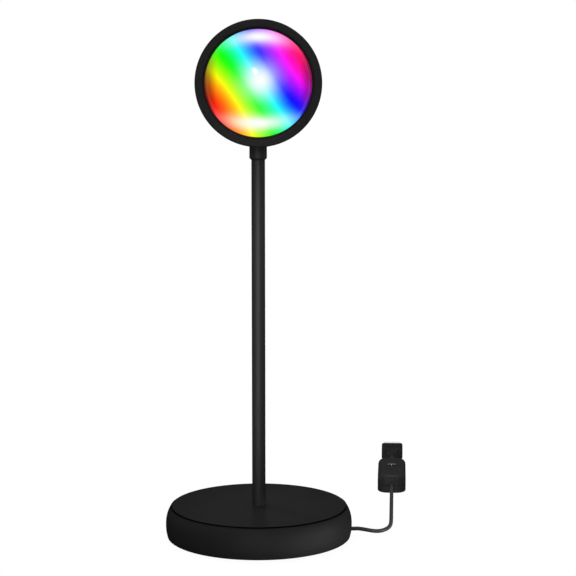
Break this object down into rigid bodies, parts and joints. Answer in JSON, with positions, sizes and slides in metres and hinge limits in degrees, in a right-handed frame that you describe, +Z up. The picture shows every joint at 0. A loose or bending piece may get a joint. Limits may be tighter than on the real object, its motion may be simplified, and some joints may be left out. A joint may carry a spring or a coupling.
{
  "type": "sunset projection lamp",
  "caption": "Small projection lamp: round weighted base, thin pole, drum head with a domed lens that pans and tilts, and a short lead with an in-line push switch and a flat plug.",
  "frame": {"origin": "centre of the underside of the foot pad, on the surface that the lamp stands on", "axes": "+Z up along the pole, -Y the way the lens faces at rest, +X the side where the lead leaves the base"},
  "size_m": [0.1598, 0.2842, 0.3076],
  "materials": {
    "satin_black_shell": "satin black moulded shell",
    "cast_weight": "rough cast",
    "zinc_plate": "zinc plated sheet",
    "foam_pad": "fine closed-cell foam",
    "zinc_screw": "zinc plated",
    "brass_stud": "turned brass",
    "black_rubber": "soft black",
    "black_plastic": "matt black moulding",
    "satin_black_metal": "satin black powder coat on steel",
    "lead_jacket": "smooth black jacket",
    "nylon": "natural nylon",
    "black_aluminium": "satin black coat on aluminium",
    "lens_glass": "polished clear dome",
    "filter_glass": "rainbow coated disc, glowing",
    "clear_plastic": "clear moulded condenser",
    "white_board": "white solder mask on aluminium",
    "led_phosphor": "yellow phosphor in silicone",
    "bare_aluminium": "mill finish",
    "green_board": "green solder mask",
    "driver_parts": "moulded component bodies",
    "switch_plastic": "satin black moulding",
    "gloss_button": "polished black",
    "spring_steel": "bright wire",
    "brass_contact": "stamped brass",
    "plug_moulding": "fine matt overmould",
    "nickel_shell": "bright nickel sheet",
    "white_insulator": "white moulded tongue",
    "gold_contact": "gold plated"
  },
  "bodies": {
    "base": {"base_shell": "satin_black_shell", "base_weight": "cast_weight", "base_plate": "zinc_plate", "foot_pad": "foam_pad", "base_screws": "zinc_screw", "pole_stud": "brass_stud", "pole_nut": "zinc_screw", "lock_washer": "zinc_screw", "cord_grommet": "black_rubber", "cord_clamp": "black_plastic", "clamp_screws": "zinc_screw", "pole_tube": "satin_black_metal", "pole_collar": "satin_black_metal", "inner_lead": "lead_jacket", "swivel_washer": "nylon", "switch_case_top": "switch_plastic", "switch_case_bottom": "switch_plastic", "switch_screws": "zinc_screw", "switch_spring": "spring_steel", "switch_contacts": "brass_contact", "plug_grip": "plug_moulding", "plug_sleeve": "plug_moulding", "plug_shell": "nickel_shell", "plug_tongue": "white_insulator", "plug_contacts": "gold_contact", "cord_lower": "lead_jacket", "cord_upper": "lead_jacket"},
    "neck": {"neck_stem": "satin_black_metal", "swivel_clip": "zinc_screw"},
    "head": {"head_housing": "black_aluminium", "front_ring": "black_aluminium", "dome_lens": "lens_glass", "lens_gasket": "black_rubber", "colour_filter": "filter_glass", "lens_tube": "black_plastic", "condenser_lens": "clear_plastic", "led_board": "white_board", "led_chip": "led_phosphor", "heat_sink": "bare_aluminium", "sink_screws": "zinc_screw", "driver_board": "green_board", "driver_parts": "driver_parts", "driver_screws": "zinc_screw", "pivot_screw": "zinc_screw", "pivot_nut": "zinc_screw", "pivot_washers": "nylon"},
    "button": {"switch_button": "gloss_button"}
  },
  "joints": [
    {"name": "head_pan", "type": "hinge", "parent": "base", "child": "neck", "pos_m": [0, 0, 0.2324], "axis": [0, 0, 1], "range_deg": [-170, 170]},
    {"name": "head_tilt", "type": "hinge", "parent": "neck", "child": "head", "pos_m": [0, 0, 0.2547], "axis": [-1, 0, 0], "range_deg": [-15, 90]},
    {"name": "button_press", "type": "slide", "parent": "base", "child": "button", "axis": [0, 0, -1], "range_m": [0, 0.0015], "stiffness_N_per_m": 500, "springref_m": -0.0015, "deforming": ["switch_spring"]}
  ]
}
